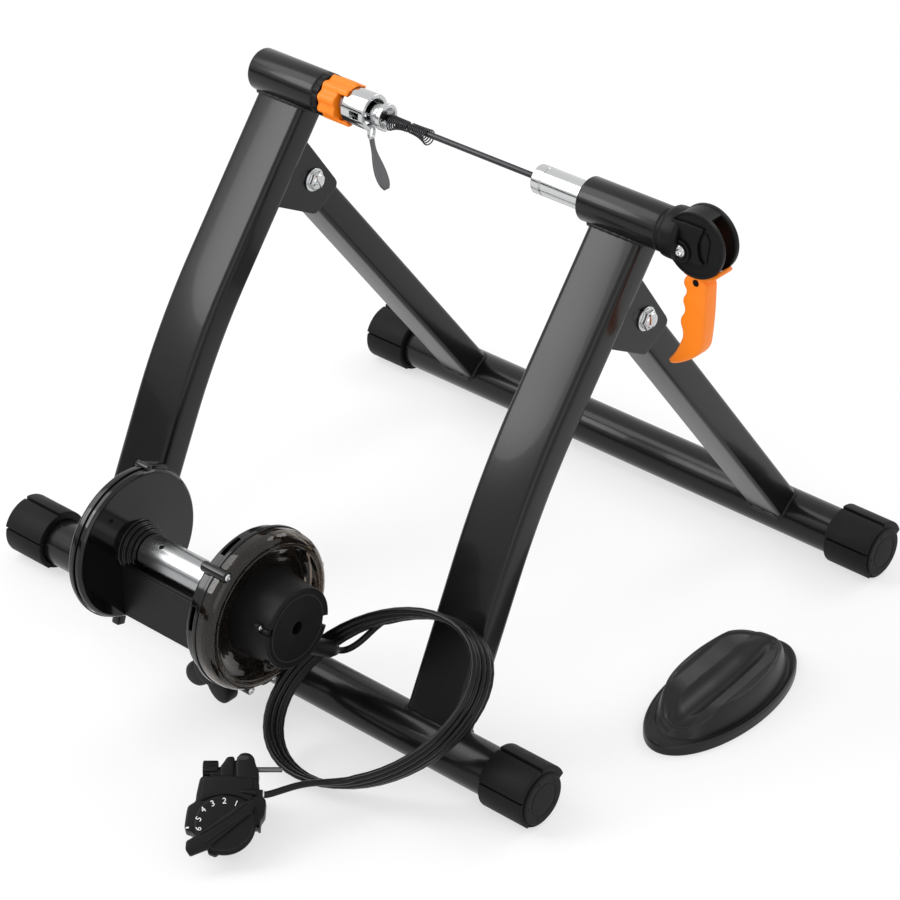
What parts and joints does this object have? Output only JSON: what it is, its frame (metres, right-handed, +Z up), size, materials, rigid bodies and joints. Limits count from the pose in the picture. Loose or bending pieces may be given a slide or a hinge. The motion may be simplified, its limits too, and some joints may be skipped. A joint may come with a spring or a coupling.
{
  "type": "wheel-on cycle trainer",
  "caption": "Folding wheel-on magnetic cycle trainer with a rear-axle clamp, tilting roller unit, remote on a cable and a front wheel riser.",
  "frame": {"origin": "centre of the footprint, on the floor", "axes": "+X along the rear axle towards the clamp handle, +Y from the resistance unit to the folding front bar, +Z up"},
  "size_m": [0.5884, 0.6548, 0.4029],
  "materials": {
    "paint": "black gloss powder coat",
    "rubber": "matt black rubber",
    "plastic": "satin black moulded plastic",
    "gloss": "polished black plastic",
    "smoke": "smoked brown, half see-through plastic",
    "orange": "satin orange plastic",
    "chrome": "bright plated steel",
    "steel": "bare steel",
    "dark_steel": "dark blued steel"
  },
  "bodies": {
    "frame": {"rear_bar": "paint", "left_upright": "paint", "right_upright": "paint", "left_barrel": "paint", "right_barrel": "paint", "left_gusset_inner": "paint", "left_gusset_outer": "paint", "right_gusset_inner": "paint", "right_gusset_outer": "paint", "left_pivot_bolt": "chrome", "left_pivot_nut": "chrome", "right_pivot_bolt": "chrome", "right_pivot_nut": "chrome", "thrust_ring": "plastic", "cam_housing": "plastic", "cam_pin": "steel", "housing_screw": "chrome", "tilt_bracket": "paint", "tilt_pin": "steel", "tension_spring": "dark_steel", "remote_housing": "plastic", "remote_clamp": "plastic", "cable_coil": "rubber", "cable_lead_in": "rubber", "cable_lead_out": "rubber"},
    "stand": {"front_bar": "paint", "left_strut": "paint", "right_strut": "paint"},
    "rear_right_cap": {"rear_right_cap": "rubber"},
    "rear_left_cap": {"rear_left_cap": "rubber"},
    "front_right_cap": {"front_right_cap": "rubber"},
    "front_left_cap": {"front_left_cap": "rubber"},
    "adjuster": {"adjuster_knob": "orange"},
    "cup": {"left_cup": "chrome", "release_head": "chrome"},
    "lever": {"release_lever": "steel"},
    "skewer": {"skewer_rod": "dark_steel", "skewer_nut": "dark_steel", "skewer_spring_left": "dark_steel", "skewer_spring_right": "dark_steel"},
    "sleeve": {"right_sleeve": "chrome"},
    "handle": {"cam_handle": "orange"},
    "unit": {"left_cover_outer": "gloss", "left_cover_inner": "gloss", "right_back_cover": "plastic", "right_cover": "smoke", "hub_boss": "plastic", "left_bearing": "steel", "right_bearing": "steel", "unit_beam": "plastic", "tilt_arm": "paint"},
    "rotor": {"roller": "chrome", "flywheel": "steel", "eddy_disc": "steel"},
    "magnets": {"magnet_carrier": "dark_steel"},
    "screw_shank": {"tension_bolt": "steel"},
    "tension_knob": {"tension_knob": "plastic"},
    "dial": {"remote_dial": "plastic"},
    "clamp_screw": {"remote_screw": "plastic"},
    "riser": {"riser_block": "plastic"}
  },
  "joints": [
    {"name": "stand_fold", "type": "hinge", "parent": "frame", "child": "stand", "pos_m": [-0.02117, 0.09035, 0.2957], "axis": [-1, 0, 0], "range_deg": [0, 63]},
    {"name": "rear_right_cap_turn", "type": "hinge", "parent": "frame", "child": "rear_right_cap", "pos_m": [0.23083, -0.11965, 0.0226], "axis": [1, 0, 0], "continuous": true},
    {"name": "rear_left_cap_turn", "type": "hinge", "parent": "frame", "child": "rear_left_cap", "pos_m": [-0.27318, -0.11965, 0.0226], "axis": [1, 0, 0], "continuous": true},
    {"name": "front_right_cap_turn", "type": "hinge", "parent": "stand", "child": "front_right_cap", "pos_m": [0.22782, 0.30315, 0.0226], "axis": [1, 0, 0], "continuous": true},
    {"name": "front_left_cap_turn", "type": "hinge", "parent": "stand", "child": "front_left_cap", "pos_m": [-0.27017, 0.30315, 0.0226], "axis": [1, 0, 0], "continuous": true},
    {"name": "cup_travel", "type": "slide", "parent": "frame", "child": "cup", "axis": [1, 0, 0], "range_m": [-0.0025, 0.004]},
    {"name": "adjuster_turn", "type": "hinge", "parent": "frame", "child": "adjuster", "pos_m": [-0.13317, 0.08755, 0.3765], "axis": [1, 0, 0], "range_deg": [-600, 960]},
    {"name": "skewer_pull", "type": "slide", "parent": "cup", "child": "skewer", "axis": [-1, 0, 0], "range_m": [0, 0.0018]},
    {"name": "lever_swing", "type": "hinge", "parent": "cup", "child": "lever", "pos_m": [-0.10018, 0.08755, 0.3652], "axis": [0, 1, 0], "range_deg": [0, 40.2]},
    {"name": "sleeve_travel", "type": "slide", "parent": "frame", "child": "sleeve", "axis": [1, 0, 0], "range_m": [0, 0.00523]},
    {"name": "handle_swing", "type": "hinge", "parent": "frame", "child": "handle", "pos_m": [0.21602, 0.08755, 0.3779], "axis": [0, -1, 0], "range_deg": [0, 100]},
    {"name": "unit_tilt", "type": "hinge", "parent": "frame", "child": "unit", "pos_m": [-0.01418, -0.14965, 0.03], "axis": [-1, 0, 0], "range_deg": [0, 6], "deforming": ["tension_spring", "cable_lead_in"]},
    {"name": "screw_advance", "type": "slide", "parent": "frame", "child": "screw_shank", "axis": [0, 1, 0], "range_m": [0, 0.00084]},
    {"name": "tension_knob_turn", "type": "hinge", "parent": "screw_shank", "child": "tension_knob", "pos_m": [-0.01418, -0.18565, 0.048], "axis": [0, -1, 0], "range_deg": [0, 241]},
    {"name": "roller_spin", "type": "hinge", "parent": "unit", "child": "rotor", "pos_m": [-0.02117, -0.18965, 0.1283], "axis": [1, 0, 0], "continuous": true},
    {"name": "magnet_turn", "type": "hinge", "parent": "unit", "child": "magnets", "pos_m": [0.05883, -0.18965, 0.1283], "axis": [1, 0, 0], "range_deg": [0, 30]},
    {"name": "dial_turn", "type": "hinge", "parent": "frame", "child": "dial", "pos_m": [0.10443, -0.29345, 0.02649], "axis": [0.357, -0.4035, 0.8425], "range_deg": [0, 122]},
    {"name": "clamp_screw_turn", "type": "hinge", "parent": "frame", "child": "clamp_screw", "pos_m": [0.08112, -0.25881, 0.04251], "axis": [0.749, 0.6626, 0], "range_deg": [0, 720]},
    {"name": "riser_lift", "type": "slide", "parent": "frame", "child": "riser", "axis": [0, 0, 1], "range_m": [0, 0.2]}
  ],
  "couplings": [
    {"joint": "adjuster_turn", "follows": "cup_travel", "rad_per_m": 4188.8},
    {"joint": "lever_swing", "follows": "skewer_pull", "rad_per_m": 389},
    {"joint": "handle_swing", "follows": "sleeve_travel", "rad_per_m": 333.3},
    {"joint": "screw_advance", "follows": "unit_tilt", "m_per_rad": 0.0079},
    {"joint": "tension_knob_turn", "follows": "unit_tilt", "ratio": 40},
    {"joint": "dial_turn", "follows": "magnet_turn", "ratio": 4.06}
  ]
}
